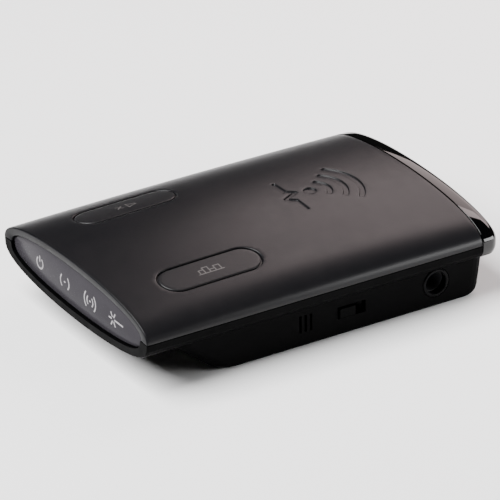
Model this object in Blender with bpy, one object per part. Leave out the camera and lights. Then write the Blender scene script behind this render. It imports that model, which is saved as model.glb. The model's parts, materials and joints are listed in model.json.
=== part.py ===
"""Windscreen radar detector: two case shells, a nose cap, a display window, two push buttons,
a side switch, a power socket and the electronics inside.

Metres, +Z up. +Y points to the nose, -Y to the display that faces the driver, and +X is the side that holds
the power socket. The origin is the middle of the underside.
"""

import math

import bmesh
import bpy
from mathutils import Euler, Matrix

MM = 0.001

# Driving dimensions. The case's section is an almond with its two tips level with each other.
LENGTH = 105.5 * MM
HALF_WIDTH = 36 * MM
TIP_Z = 15.5 * MM
CROWN = 7.9 * MM
CROWN_RISE = 0.3 * MM
CROWN_SWELL = 1.1 * MM
CROWN_POWERS = (2.0, 2.4)
BELLY = 8.6 * MM
BELLY_POWERS = (2.0, 2.9)
CROWN_STEPS = 36
BELLY_STEPS = 28

SIDE_WALL = 3.6 * MM
TOP_WALL = 2.3 * MM
BELLY_WALL = 2.3 * MM
GAP = 0.3 * MM
PARTING_Z = TIP_Z
PARTING_GAP = 0.2 * MM
EDGE = 0.35 * MM
CLEAR_TOP = 40 * MM

# The deeper box under the almond: a sloped end towards the display, upright walls elsewhere.
HOUSING_HALF_WIDTH = 33 * MM
HOUSING_TOP = 11.4 * MM
HOUSING_WALL = 1.8 * MM
HOUSING_FRONT_WALL = 2.0 * MM
HOUSING_CORNER = 4 * MM
SIDE_EDGE_RADIUS = 1.6 * MM
FRONT_EDGE_RADIUS = 2.6 * MM
FRONT_DRAFT = 1.6 * MM
SLOPE = math.radians(38)
SLOPE_TOP = 10 * MM

BOARD_THICKNESS = 1.2 * MM
BOARD_Z = 12.6 * MM
BOARD_TOP = BOARD_Z + BOARD_THICKNESS
BOARD_HALF_WIDTH = 29.5 * MM


def along(distance):
    """The Y of a place this far, in millimetres, from the display end."""
    return distance * MM - LENGTH / 2


DISPLAY_END = along(0)
SEAM = along(100.1)
SLOPE_FOOT = along(23.1)
HOUSING_FRONT = along(101.9)

FINISHES = {
    "satin_charcoal": ((0.026, 0.025, 0.026), 0.42, 0.0),
    "housing_black": ((0.008, 0.008, 0.009), 0.5, 0.0),
    "gloss_black": ((0.003, 0.003, 0.003), 0.06, 0.0),
    "smoke_lens": ((0.11, 0.105, 0.12), 0.12, 0.0),
    "clear_acrylic": ((0.8, 0.82, 0.85), 0.08, 0.0),
    "white_resin": ((0.82, 0.82, 0.78), 0.5, 0.0),
    "board_green": ((0.02, 0.12, 0.05), 0.45, 0.0),
    "die_cast": ((0.55, 0.55, 0.56), 0.45, 1.0),
    "tin_plate": ((0.7, 0.7, 0.68), 0.3, 1.0),
    "screw_steel": ((0.35, 0.35, 0.36), 0.35, 1.0),
    "chip_resin": ((0.02, 0.02, 0.022), 0.6, 0.0),
    "capacitor_sleeve": ((0.03, 0.035, 0.06), 0.35, 0.0),
    "ferrite": ((0.06, 0.055, 0.055), 0.7, 0.0),
    "speaker_paper": ((0.05, 0.048, 0.045), 0.85, 0.0),
    "plate_silver": ((0.5, 0.5, 0.5), 0.4, 0.8),
    "socket_ring": ((0.2, 0.2, 0.21), 0.3, 0.9),
}


# Shapes


def object_from(name, bm):
    bmesh.ops.recalc_face_normals(bm, faces=bm.faces)
    mesh = bpy.data.meshes.new(name)
    bm.to_mesh(mesh)
    bm.free()
    obj = bpy.data.objects.new(name, mesh)
    bpy.context.collection.objects.link(obj)
    return obj


def loft(name, rings, capped=True):
    """A skin over rings with the same number of points. Uncapped, the last ring joins the first."""
    bm = bmesh.new()
    rows = [[bm.verts.new(point) for point in ring] for ring in rings]
    following = rows[1:] if capped else rows[1:] + rows[:1]
    for row, after in zip(rows, following):
        for i in range(len(row)):
            bm.faces.new((row[i - 1], row[i], after[i], after[i - 1]))
    if capped:
        bm.faces.new(rows[0])
        bm.faces.new(rows[-1])
    return object_from(name, bm)


def prism(name, outline, low, high):
    return loft(name, [[(x, y, z) for x, y in outline] for z in (low, high)])


def box(name, x_range, y_range, z_range):
    (left, right), (back, front) = x_range, y_range
    return prism(name, [(left, back), (right, back), (right, front), (left, front)], *z_range)


def block(name, size, corner=0.0):
    """A box round the origin, with its edges bevelled by corner."""
    bm = bmesh.new()
    bmesh.ops.create_cube(bm, size=1, matrix=Matrix.Diagonal((*size, 1)))
    if corner:
        bmesh.ops.bevel(bm, geom=bm.edges[:], offset=corner, segments=2, profile=0.5, affect="EDGES")
    return object_from(name, bm)


def circle(radius, steps, z=0.0):
    turn = 2 * math.pi / steps
    return [(radius * math.cos(i * turn), radius * math.sin(i * turn), z) for i in range(steps)]


def turned(name, profile, steps=32, capped=True):
    """A solid of revolution about Z from (radius, height) points."""
    return loft(name, [circle(radius, steps, z) for radius, z in profile], capped)


def cylinder(name, radius, low, high, steps=32):
    return turned(name, [(radius, low), (radius, high)], steps)


def at(obj, x=0.0, y=0.0, z=0.0, turn=(0, 0, 0)):
    obj.location = (x, y, z)
    obj.rotation_euler = Euler(turn)
    return obj


def combine(target, operation, others):
    """The Boolean of target with each of the others, which are used up."""
    for other in others:
        modifier = target.modifiers.new("boolean", "BOOLEAN")
        modifier.operation = operation
        modifier.object = other
        graph = bpy.context.evaluated_depsgraph_get()
        mesh = bpy.data.meshes.new_from_object(target.evaluated_get(graph))
        target.modifiers.clear()
        target.data = mesh
        bpy.data.objects.remove(other)
    return target


def join(target, *others):
    return combine(target, "UNION", others)


def cut(target, *others):
    return combine(target, "DIFFERENCE", others)


def keep(target, *others):
    return combine(target, "INTERSECT", others)


def stadium(radius, straight, centre=(0.0, 0.0), steps=10):
    """Points round a slot with round ends, its long side along Y."""
    points = []
    for end in (1, -1):
        for i in range(steps + 1):
            angle = math.pi * i / steps
            x = centre[0] + end * radius * math.cos(angle)
            y = centre[1] + end * (straight / 2 + radius * math.sin(angle))
            points.append((x, y))
    return points


def rounded_rectangle(half_width, back, front, radius, steps=5):
    """Points round a plan rectangle, -half_width to half_width and back to front."""
    points = []
    corners = ((1, front, 0), (-1, front, 1), (-1, back, 2), (1, back, 3))
    for side, y, quarter in corners:
        x = side * (half_width - radius)
        middle = y - radius if y == front else y + radius
        for i in range(steps + 1):
            angle = math.pi / 2 * (quarter + i / steps)
            points.append((x + radius * math.cos(angle), middle + radius * math.sin(angle)))
    return points


# The case's form


def crown_height(y):
    """Height of the crown above the tips. It swells at mid-length and rises a little to the nose."""
    share = (y - DISPLAY_END) / LENGTH
    return CROWN + CROWN_RISE * share + CROWN_SWELL * 4 * share * (1 - share)


def surface_z(x, y):
    """Height of the top surface at a place in plan."""
    across_power, up_power = CROWN_POWERS
    return TIP_Z + crown_height(y) * (1 - abs(x / HALF_WIDTH) ** across_power) ** (1 / up_power)


def half_almond(half_width, height, powers, steps, side):
    """One half of the section as (x, z) points, from the tip on side to just before the other tip.

    It is a superellipse, with one power across and one up.
    """
    points = []
    for i in range(steps):
        angle = math.pi * i / steps
        reach = math.copysign(abs(math.cos(angle)) ** (2 / powers[0]), math.cos(angle))
        points.append((side * half_width * reach, height * math.sin(angle) ** (2 / powers[1])))
    return points


def almond_ring(y, side=0.0, top=0.0, belly=0.0):
    """The section at y, drawn in by side, top and belly."""
    width = HALF_WIDTH - side
    upper = half_almond(width, crown_height(y) - top, CROWN_POWERS, CROWN_STEPS, 1)
    lower = half_almond(width, belly - BELLY, BELLY_POWERS, BELLY_STEPS, -1)
    return [(x, y, TIP_Z + z) for x, z in upper + lower]


def even_stations(back, front, count=7):
    return [back + (front - back) * i / (count - 1) for i in range(count)]


def almond_outside(name):
    """The solid almond from the display end to the seam, with its end edges eased."""
    eased = almond_ring(DISPLAY_END, EDGE, EDGE, EDGE)
    middle = [almond_ring(y) for y in even_stations(DISPLAY_END + EDGE, SEAM)]
    return loft(name, [eased, *middle])


def almond_inside(name, back, front):
    rings = [almond_ring(y, SIDE_WALL, TOP_WALL, BELLY_WALL) for y in even_stations(back, front)]
    return loft(name, rings)


def rounding(radius, height):
    """How far a round edge has still to go, at this height above its start."""
    if height >= radius:
        return 0.0
    return radius - math.sqrt(radius**2 - (radius - height) ** 2)


def housing_ring(z, wall=0.0, front_wall=0.0):
    """Plan outline of the deeper box at height z, drawn in by its walls."""
    side = rounding(SIDE_EDGE_RADIUS, z)
    back = SLOPE_FOOT - min(z, SLOPE_TOP) / math.tan(SLOPE) + wall / math.sin(SLOPE) + side
    front = HOUSING_FRONT + FRONT_DRAFT * z / HOUSING_TOP - rounding(FRONT_EDGE_RADIUS, z) - front_wall
    outline = rounded_rectangle(HOUSING_HALF_WIDTH - wall - side, back, front, HOUSING_CORNER - wall)
    return [(x, y, z) for x, y in outline]


def housing_outside(name):
    edge = [SIDE_EDGE_RADIUS * share for share in (0, 0.08, 0.3, 0.62, 1)]
    above = [FRONT_EDGE_RADIUS, SLOPE_TOP, HOUSING_TOP]
    return loft(name, [housing_ring(z) for z in edge + above])


def housing_inside(name):
    levels = [HOUSING_WALL, FRONT_EDGE_RADIUS, SLOPE_TOP, TIP_Z - 0.6 * MM]
    return loft(name, [housing_ring(z, HOUSING_WALL, HOUSING_FRONT_WALL) for z in levels])


def slab(low, high):
    """Everything between two heights."""
    return box("slab", (-LENGTH, LENGTH), (-LENGTH, LENGTH), (low, high))


# Where things are fastened

SCREW_X = 27 * MM
SCREW_PLACES = [(side * SCREW_X, along(y)) for side in (-1, 1) for y in (50, 95.6)]
BOARD_SCREW_PLACES = [(side * x * MM, along(y)) for x, y in ((16.5, 33), (23.5, 74)) for side in (-1, 1)]
BOSS_RADIUS = 3.4 * MM
BOSS_BORE = 1.35 * MM
COUNTERBORE = 2.5 * MM
COUNTERBORE_DEPTH = 5 * MM
TOP_BOSS_RADIUS = 2.6 * MM
POST_RADIUS = 2.2 * MM
POST_BORE = 1.15 * MM

SWITCH_Y = along(62)
SWITCH_Z = 6.8 * MM
SWITCH_WINDOW = (8.4 * MM, 3.4 * MM)
SWITCH_TRAVEL = 3 * MM

SOCKET_Y = along(87.7)
SOCKET_Z = 7.2 * MM
SOCKET_RADIUS = 2.95 * MM
RING_RADIUS = 3.9 * MM
RING_SINK = 0.9 * MM

SPEAKER_Y = along(40)
SLOT_HALF_WIDTH = 12 * MM
SLOT_Z = (9 * MM, 10.7 * MM)
SLOT_BACK = along(90)
PLATE_SIZE = (40 * MM, 22 * MM)
PLATE_Y = along(74)
PLATE_RECESS = 0.4 * MM


def millimetres(profile):
    """A profile given in millimetres, in metres."""
    return [(radius * MM, height * MM) for radius, height in profile]


def across(name, radius, x_range, y, z, steps=32):
    """A cylinder that lies along X."""
    rod = cylinder(name, radius, *x_range, steps)
    return at(rod, 0, y, z, (0, math.pi / 2, 0))


def speaker_slots():
    """Sound slots that fill a round field under the speaker."""
    field = 9.6 * MM
    pitch = 2.4 * MM
    slots = []
    for i in range(-3, 4):
        x = i * pitch
        reach = math.sqrt(field**2 - x**2)
        outline = stadium(0.55 * MM, 2 * reach - 1.1 * MM, (x, SPEAKER_Y), 4)
        slots.append(prism("sound_slot", outline, -MM, 2.6 * MM))
    return slots


def side_vents():
    """Narrow upright slots beside the speaker, in the wall that holds the socket."""
    wall = (HOUSING_HALF_WIDTH - 2.2 * MM, HOUSING_HALF_WIDTH + MM)
    height = (4.4 * MM, 9.2 * MM)
    vents = []
    for i in range(3):
        y = along(46.6 + 1.6 * i)
        vents.append(box("vent", wall, (y - 0.35 * MM, y + 0.35 * MM), height))
    return vents


def add_posts(case):
    """Bosses for the case screws, open below, and posts that the main board stands on."""
    for place in SCREW_PLACES:
        join(case, at(cylinder("boss", BOSS_RADIUS, 0.6 * MM, TIP_Z - MM, 24), *place))
        bore = at(cylinder("bore", BOSS_BORE, -MM, TIP_Z + MM, 20), *place)
        sink = at(cylinder("sink", COUNTERBORE, -MM, COUNTERBORE_DEPTH, 24), *place)
        cut(case, bore, sink)
    for place in BOARD_SCREW_PLACES:
        join(case, at(cylinder("post", POST_RADIUS, 0.6 * MM, BOARD_Z - GAP, 20), *place))
        cut(case, at(cylinder("pilot", POST_BORE, BOARD_Z - 7 * MM, BOARD_Z + MM, 16), *place))


def add_bracket_pocket(case):
    """A blind slot in the front wall, which takes the flat tongue of a windscreen bracket."""
    side, floor, roof = 1.2 * MM, 0.8 * MM, 0.6 * MM
    outer_x = SLOT_HALF_WIDTH + side
    outer_z = (SLOT_Z[0] - floor, SLOT_Z[1] + roof)
    join(case, box("pocket", (-outer_x, outer_x), (SLOT_BACK - MM, HOUSING_FRONT + 0.4 * MM), outer_z))
    mouth = HOUSING_FRONT + 5 * MM
    cut(case, box("slot", (-SLOT_HALF_WIDTH, SLOT_HALF_WIDTH), (SLOT_BACK, mouth), SLOT_Z))


def cut_side_wall(case):
    """The socket's hole and the seat of its ring, the switch's window, and the vents."""
    through = (HOUSING_HALF_WIDTH - 3 * MM, HOUSING_HALF_WIDTH + MM)
    skin = (HOUSING_HALF_WIDTH - RING_SINK, HOUSING_HALF_WIDTH + MM)
    hole = across("socket_hole", SOCKET_RADIUS + 0.15 * MM, through, SOCKET_Y, SOCKET_Z)
    seat = across("ring_seat", RING_RADIUS + 0.2 * MM, skin, SOCKET_Y, SOCKET_Z)
    half_y, half_z = (size / 2 for size in SWITCH_WINDOW)
    height = (SWITCH_Z - half_z, SWITCH_Z + half_z)
    window = box("window", through, (SWITCH_Y - half_y, SWITCH_Y + half_y), height)
    cut(case, hole, seat, window, *side_vents())


def bottom_case():
    case = almond_outside("bottom_case")
    keep(case, slab(-MM, PARTING_Z - PARTING_GAP / 2))
    join(case, housing_outside("housing"))
    cut(case, housing_inside("hollow"))
    cut(case, almond_inside("hollow", DISPLAY_END - MM, SEAM + 0.4 * MM))
    add_posts(case)
    add_bracket_pocket(case)
    cut_side_wall(case)
    cut(case, *speaker_slots())
    half_x, half_y = (size / 2 + GAP for size in PLATE_SIZE)
    recess_y = (PLATE_Y - half_y, PLATE_Y + half_y)
    return cut(case, box("plate_recess", (-half_x, half_x), recess_y, (-MM, PLATE_RECESS)))


# Top cover, buttons and emblem

BUTTON_X = 20.9 * MM
BUTTON_Y = along(27.4)
BUTTON_RADIUS = 4.6 * MM
BUTTON_STRAIGHT = 19.4 * MM
GROOVE = 0.5 * MM
CAP_DEPTH = 3.1 * MM
FLANGE_DEPTHS = (2.7 * MM, 3.6 * MM)
STEM_Z = 18.2 * MM
STEM_RADIUS = 1.6 * MM
EMBLEM_Y = along(75)
ENGRAVING = 0.3 * MM


def lowered(depth):
    """The solid almond sunk by depth, for shapes that follow the crown."""
    return at(almond_outside("lowered"), z=-depth)


def arc_band(radius, width, half_angle, centre, steps=14):
    """Outline of an arc that opens towards +Y about its centre."""
    points = []
    for edge, sense in ((radius + width / 2, 1), (radius - width / 2, -1)):
        for i in range(steps + 1):
            angle = math.pi / 2 + sense * half_angle * (2 * i / steps - 1)
            points.append((centre[0] + edge * math.cos(angle), centre[1] + edge * math.sin(angle)))
    return points


def pulse_band(width, half_length, height, centre):
    """Outline of a pulse line: level, one peak and one dip, level."""
    line = [(-1, 0), (-0.34, 0), (-0.14, 1), (0.14, -1), (0.34, 0), (1, 0)]
    upper = [(centre[0] + x * half_length, centre[1] + y * height + width / 2) for x, y in line]
    lower = [(x, y - width) for x, y in upper]
    return upper + lower[::-1]


def emblem_outlines():
    """A source with three waves over it, and a pulse line under it."""
    source = (0.0, EMBLEM_Y - 4.5 * MM)
    waves = [arc_band(radius * MM, 1.5 * MM, math.radians(42), source) for radius in (5.2, 9.4, 13.6)]
    dot = [(x, source[1] + y) for x, y, _ in circle(1.7 * MM, 20)]
    pulse = pulse_band(1.1 * MM, 8.2 * MM, 2.2 * MM, (0.0, EMBLEM_Y - 10.4 * MM))
    return [*waves, dot, pulse]


def top_cover():
    cover = almond_outside("top_cover")
    keep(cover, slab(PARTING_Z + PARTING_GAP / 2, CLEAR_TOP))
    cut(cover, almond_inside("hollow", DISPLAY_END - MM, SEAM + MM))
    for x, y in SCREW_PLACES:
        top = surface_z(abs(x) + TOP_BOSS_RADIUS, y) - 0.4 * MM
        join(cover, at(cylinder("boss", TOP_BOSS_RADIUS, TIP_Z - 0.1 * MM, top, 24), x, y))
        cut(cover, at(cylinder("pilot", 1.25 * MM, TIP_Z - MM, TIP_Z + 3 * MM, 16), x, y))
    for side in (-1, 1):
        outline = stadium(BUTTON_RADIUS + GROOVE, BUTTON_STRAIGHT, (side * BUTTON_X, BUTTON_Y))
        cut(cover, prism("button_hole", outline, TIP_Z, CLEAR_TOP))
    for outline in emblem_outlines():
        mark = prism("mark", outline, TIP_Z + 4 * MM, CLEAR_TOP)
        cut(cover, cut(mark, lowered(ENGRAVING)))
    return cover


def button(name, side):
    """A cap that follows the crown, a flange that keeps it in, and a stem down to its tact switch."""
    centre = (side * BUTTON_X, BUTTON_Y)
    cap = prism(name, stadium(BUTTON_RADIUS, BUTTON_STRAIGHT, centre), TIP_Z, CLEAR_TOP)
    cut(keep(cap, lowered(0.05 * MM)), lowered(CAP_DEPTH))
    flange = prism("flange", stadium(BUTTON_RADIUS + 1.4 * MM, BUTTON_STRAIGHT, centre), TIP_Z, CLEAR_TOP)
    cut(keep(flange, lowered(FLANGE_DEPTHS[0])), lowered(FLANGE_DEPTHS[1]))
    stem = at(cylinder("stem", STEM_RADIUS, STEM_Z, surface_z(*centre) - CAP_DEPTH, 20), *centre)
    join(cap, flange, stem)
    cap.data.transform(Matrix.Translation((-centre[0], -centre[1], -STEM_Z)))
    return at(cap, *centre, STEM_Z)


def tact_switch(name, side):
    body = block(name, (6 * MM, 6 * MM, 3.4 * MM))
    cut(body, cylinder("well", STEM_RADIUS + GAP, -1.3 * MM, 3 * MM, 20))
    return at(body, side * BUTTON_X, BUTTON_Y, BOARD_TOP + GAP + 1.7 * MM)


def plunger(name, side):
    stem = cylinder(name, STEM_RADIUS, -2.7 * MM, 0, 20)
    return at(stem, side * BUTTON_X, BUTTON_Y, STEM_Z - GAP)


# Nose cap

NOSE_BACK = SEAM + 0.25 * MM
NOSE_RADIUS = 2.8 * MM
NOSE_BOTTOM = HOUSING_TOP + 0.25 * MM
NOSE_WALL = 1.8 * MM


def nose_ring(y, wall=0.0):
    inset = rounding(NOSE_RADIUS, LENGTH / 2 - y) + wall
    return almond_ring(y, inset, inset, inset)


def snap_tab(x):
    """A tongue that hooks back under the top cover, and the root that ties it to the cap's wall."""
    half_width, thickness, tie = 4 * MM, 1.2 * MM, 3.4 * MM
    reach = (x - half_width, x + half_width)
    low = TIP_Z + 3.2 * MM
    root = box("root", reach, (NOSE_BACK + GAP, NOSE_BACK + GAP + thickness), (low + GAP, low + tie))
    tongue = box("tongue", reach, (NOSE_BACK - 3.5 * MM, NOSE_BACK + thickness), (low, low + thickness))
    return root, tongue


def nose_cap():
    """A cap with a rounded front edge, hollow behind, and cut level above the deeper box."""
    front = LENGTH / 2
    quarter = [math.pi / 2 * i / 5 for i in range(6)]
    round_stations = [front - NOSE_RADIUS * (1 - math.sin(angle)) for angle in quarter]
    cap = loft("nose_cap", [nose_ring(y) for y in (NOSE_BACK, *round_stations)])
    keep(cap, slab(NOSE_BOTTOM, CLEAR_TOP))
    hollow = loft("hollow", [nose_ring(y, NOSE_WALL) for y in (NOSE_BACK - MM, front - NOSE_RADIUS)])
    cut(cap, keep(hollow, slab(NOSE_BOTTOM + NOSE_WALL, CLEAR_TOP)))
    for side in (-1, 1):
        join(cap, *snap_tab(side * 13 * MM))
    return cap


# Display

LEGEND_PITCH = 12.65 * MM
LEGEND_Z = TIP_Z - 0.7 * MM
LEGENDS = [(i - 1.5) * LEGEND_PITCH for i in range(4)]


def almond_plate(name, back, front):
    """A plate that fills the case's inner section with the usual gap all round."""
    rings = [almond_ring(y, SIDE_WALL + GAP, TOP_WALL + GAP, BELLY_WALL + GAP) for y in (back, front)]
    return loft(name, rings)


def display_lens():
    return almond_plate("display_lens", along(0.9), along(2.5))


def display_mask():
    """An opaque block with a tunnel behind each legend."""
    mask = almond_plate("display_mask", along(2.8), along(7.8))
    half_width, half_height = 4 * MM, 2.6 * MM
    height = (LEGEND_Z - half_height, LEGEND_Z + half_height)
    for x in LEGENDS:
        cut(mask, box("tunnel", (x - half_width, x + half_width), (along(2), along(9)), height))
    return mask


def light_guide(name, x):
    return at(block(name, (7.4 * MM, 5.2 * MM, 4.6 * MM), 0.3 * MM), x, along(5.6), LEGEND_Z)


def indicator_led(name, x):
    return at(block(name, (3.2 * MM, 1.2 * MM, 2.8 * MM), 0.15 * MM), x, along(9.1), LEGEND_Z)


def display_board():
    return at(block("display_board", (50 * MM, MM, 7 * MM)), 0, along(10.6), LEGEND_Z)


def display_header():
    return on_board(block("display_header", (16 * MM, 4 * MM, 2.4 * MM)), 0, 13.6, 1.2 * MM)


# Main board and what it carries


def main_board():
    """The board, cut away round the bosses of the case screws."""
    reach = (along(14), along(90))
    board = box("main_board", (-BOARD_HALF_WIDTH, BOARD_HALF_WIDTH), reach, (BOARD_Z, BOARD_TOP))
    span = (BOARD_Z - MM, BOARD_TOP + MM)
    for place in SCREW_PLACES:
        cut(board, at(cylinder("notch", BOSS_RADIUS + 0.5 * MM, *span, 24), *place))
    for place in BOARD_SCREW_PLACES:
        cut(board, at(cylinder("hole", POST_BORE + GAP, *span, 16), *place))
    return board


def on_board(obj, x, distance, half_height):
    """Stands a piece on the main board, this far from the display end."""
    return at(obj, x * MM, along(distance), BOARD_TOP + GAP + half_height)


def processor():
    return on_board(block("processor", (12 * MM, 12 * MM, 1.4 * MM), 0.2 * MM), 0, 54, 0.7 * MM)


def memory():
    return on_board(block("memory", (5 * MM, 6 * MM, 1.5 * MM), 0.2 * MM), 12, 56, 0.75 * MM)


def regulator():
    return on_board(block("regulator", (6.5 * MM, 6.2 * MM, 2.3 * MM), 0.2 * MM), -14, 69, 1.15 * MM)


def inductor():
    """A wound drum: a waist between two flanges."""
    profile = [(3.2, 0), (3.2, 1), (2.5, 1.3), (2.5, 2.9), (3.2, 3.2), (3.2, 4)]
    return on_board(turned("inductor", millimetres(profile), 24), 13, 68, 0)


def crystal():
    outline = stadium(2.1 * MM, 6.4 * MM, (0.0, 0.0), 8)
    return on_board(prism("crystal", outline, 0, 3.2 * MM), -12, 55, 0)


def capacitor(name, x):
    """A can with the rolled groove over its seal."""
    profile = [(2.5, 0), (2.5, 0.8), (2.3, 1.1), (2.5, 1.4), (2.5, 5.2), (2.2, 5.5)]
    return on_board(turned(name, millimetres(profile), 24), x, 78, 0)


def laser_sensor():
    body = block("laser_sensor", (8 * MM, 6 * MM, 5.4 * MM), 0.4 * MM)
    return on_board(body, 0, 83, 2.7 * MM)


def laser_lens():
    """A plano-convex lens that looks out through the nose, in front of its sensor."""
    radius, edge, bulge = 3.2 * MM, 1.2 * MM, 1.8 * MM
    angles = [math.pi / 2 * i / 5 for i in range(5)]
    dome = [(radius * math.cos(angle), edge + bulge * math.sin(angle)) for angle in angles]
    lens = turned("laser_lens", [(radius, 0), *dome], 28)
    return at(lens, 0, along(86.4), BOARD_TOP + GAP + 2.9 * MM, (-math.pi / 2, 0, 0))


# Antenna and speaker, under the main board


def rectangle_ring(half_width, low, high, y):
    return [(-half_width, y, low), (half_width, y, low), (half_width, y, high), (-half_width, y, high)]


def horn_antenna():
    """A rectangular waveguide that flares towards the nose, open at its mouth."""
    outside = [
        rectangle_ring(7.5 * MM, 2.6 * MM, 7.6 * MM, along(60)),
        rectangle_ring(7.5 * MM, 2.6 * MM, 7.6 * MM, along(74)),
        rectangle_ring(19 * MM, 2.2 * MM, 7.8 * MM, along(98.4)),
    ]
    inside = [
        rectangle_ring(6 * MM, 3.5 * MM, 6.7 * MM, along(62)),
        rectangle_ring(6 * MM, 3.5 * MM, 6.7 * MM, along(74)),
        rectangle_ring(18 * MM, 2.9 * MM, 7.1 * MM, along(99.4)),
    ]
    return cut(loft("horn_antenna", outside), loft("hollow", inside))


def rf_board():
    return box("rf_board", (-15 * MM, 15 * MM), (along(54), along(77)), (8.4 * MM, 9.2 * MM))


def rf_shield():
    """A can over the RF board, open below."""
    can = box("rf_shield", (-12 * MM, 12 * MM), (along(56), along(75)), (9.5 * MM, 12.1 * MM))
    hollow = box("hollow", (-11.5 * MM, 11.5 * MM), (along(56.5), along(74.5)), (9 * MM, 11.6 * MM))
    return cut(can, hollow)


def speaker_frame():
    """A pressed basket with its rim below, open in the middle for the cone's neck."""
    outside = [(12, 2.1), (12, 3.1), (8.2, 6), (7.6, 6.6), (3.4, 6.6)]
    inside = [(3.4, 6), (7.2, 6), (10.9, 3.1), (10.9, 2.1)]
    return at(turned("speaker_frame", millimetres(outside + inside), capped=False), 0, SPEAKER_Y)


def speaker_cone():
    profile = [(3.2, 4.9), (10.5, 2.3), (10.5, 2.7), (3.2, 5.3)]
    return at(turned("speaker_cone", millimetres(profile)), 0, SPEAKER_Y)


def speaker_magnet():
    return at(cylinder("speaker_magnet", 7 * MM, 6.9 * MM, 9.4 * MM), 0, SPEAKER_Y)


# Side switch and power socket

INNER_WALL_X = HOUSING_HALF_WIDTH - HOUSING_WALL - GAP


def switch_body():
    """The body behind the wall, with a well as big as the window for the knob to run in."""
    half_y, half_z = 5.4 * MM, 2.8 * MM
    height = (SWITCH_Z - half_z, SWITCH_Z + half_z)
    body = box("switch_body", (24 * MM, INNER_WALL_X), (SWITCH_Y - half_y, SWITCH_Y + half_y), height)
    well_y, well_z = (size / 2 for size in SWITCH_WINDOW)
    well_height = (SWITCH_Z - well_z, SWITCH_Z + well_z)
    depth = (27 * MM, HALF_WIDTH)
    return cut(body, box("well", depth, (SWITCH_Y - well_y, SWITCH_Y + well_y), well_height))


def switch_knob():
    """The knob, at rest at the display end of its window. It stands a little proud of the wall."""
    reach = (27.4 * MM, HOUSING_HALF_WIDTH + 0.6 * MM)
    length = SWITCH_WINDOW[0] - SWITCH_TRAVEL - 2 * GAP
    knob = block("switch_knob", (reach[1] - reach[0], length, 2.7 * MM), 0.25 * MM)
    y = SWITCH_Y - SWITCH_WINDOW[0] / 2 + GAP + length / 2
    return at(knob, sum(reach) / 2, y, SWITCH_Z)


def socket_body():
    """The moulded block round the plug's barrel, blind at its inner end."""
    half_y, half_z = 4 * MM, 4.2 * MM
    height = (SOCKET_Z - half_z, SOCKET_Z + half_z)
    body = box("socket_body", (21.5 * MM, INNER_WALL_X), (SOCKET_Y - half_y, SOCKET_Y + half_y), height)
    return cut(body, across("barrel", SOCKET_RADIUS, (22.6 * MM, 40 * MM), SOCKET_Y, SOCKET_Z))


def socket_pin():
    profile = [(1, 23), (1, 28.5), (0.6, 29)]
    return at(turned("socket_pin", millimetres(profile), 20), 0, SOCKET_Y, SOCKET_Z, (0, math.pi / 2, 0))


def socket_ring():
    back = HOUSING_HALF_WIDTH - RING_SINK + GAP
    front = HOUSING_HALF_WIDTH + 0.2 * MM
    hole = SOCKET_RADIUS + 0.05 * MM
    ease = 0.2 * MM
    profile = [
        (hole, back),
        (RING_RADIUS, back),
        (RING_RADIUS, front - ease),
        (RING_RADIUS - ease, front),
        (hole + ease, front),
        (hole, front - ease),
    ]
    return at(turned("socket_ring", profile, 36, capped=False), 0, SOCKET_Y, SOCKET_Z, (0, math.pi / 2, 0))


# Screws and plate


def screw(name, head_radius, head_height, shank_radius, shank_length):
    """A pan-head screw with a cross recess. Its head stands on z = 0 and its shank goes down."""
    profile = [
        (shank_radius * 0.5, -shank_length),
        (shank_radius, -shank_length + shank_radius),
        (shank_radius, 0),
        (head_radius, 0),
        (head_radius, head_height * 0.55),
        (head_radius * 0.72, head_height),
    ]
    body = turned(name, profile, 20)
    half_slot = head_radius * 0.14
    half_span = head_radius * 0.6
    recess = (head_height * 0.45, head_height * 2)
    cut(body, box("slot", (-half_slot, half_slot), (-half_span, half_span), recess))
    cut(body, box("slot", (-half_span, half_span), (-half_slot, half_slot), recess))
    return body


def case_screw(name, place):
    body = screw(name, 2.1 * MM, 1.5 * MM, 1.05 * MM, 12.4 * MM)
    return at(body, *place, COUNTERBORE_DEPTH - GAP, (math.pi, 0, 0))


def board_screw(name, place):
    body = screw(name, 2.1 * MM, 1.3 * MM, 0.9 * MM, 6 * MM)
    return at(body, *place, BOARD_TOP + GAP)


def rating_plate():
    plate = block("rating_plate", (*PLATE_SIZE, 0.2 * MM))
    return at(plate, 0, PLATE_Y, 0.2 * MM)


# Assembly


def finish(obj, kind):
    colour, roughness, metallic = FINISHES[kind]
    material = bpy.data.materials.new(f"{obj.name}_{kind}")
    material.use_nodes = True
    shader = material.node_tree.nodes["Principled BSDF"]
    shader.inputs["Base Color"].default_value = (*colour, 1)
    shader.inputs["Roughness"].default_value = roughness
    shader.inputs["Metallic"].default_value = metallic
    material.diffuse_color = (*colour, 1)
    obj.data.materials.clear()
    obj.data.materials.append(material)
    obj.data.shade_smooth()
    obj.data.set_sharp_from_angle(angle=math.radians(30))


def empty(name, place=(0, 0, 0), parent=None):
    obj = bpy.data.objects.new(name, None)
    bpy.context.collection.objects.link(obj)
    obj.location = place
    obj.parent = parent
    return obj


def put(kind, obj, parent):
    """Gives a finished piece its material and its parent, and leaves it where it was built."""
    finish(obj, kind)
    obj.parent = parent
    bpy.context.view_layer.update()
    obj.matrix_parent_inverse = parent.matrix_world.inverted()
    return obj


def add_case(root):
    put("housing_black", bottom_case(), root)
    put("satin_charcoal", top_cover(), root)
    put("gloss_black", nose_cap(), root)
    put("plate_silver", rating_plate(), root)
    for i, place in enumerate(SCREW_PLACES, 1):
        put("screw_steel", case_screw(f"case_screw_{i}", place), root)


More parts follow.
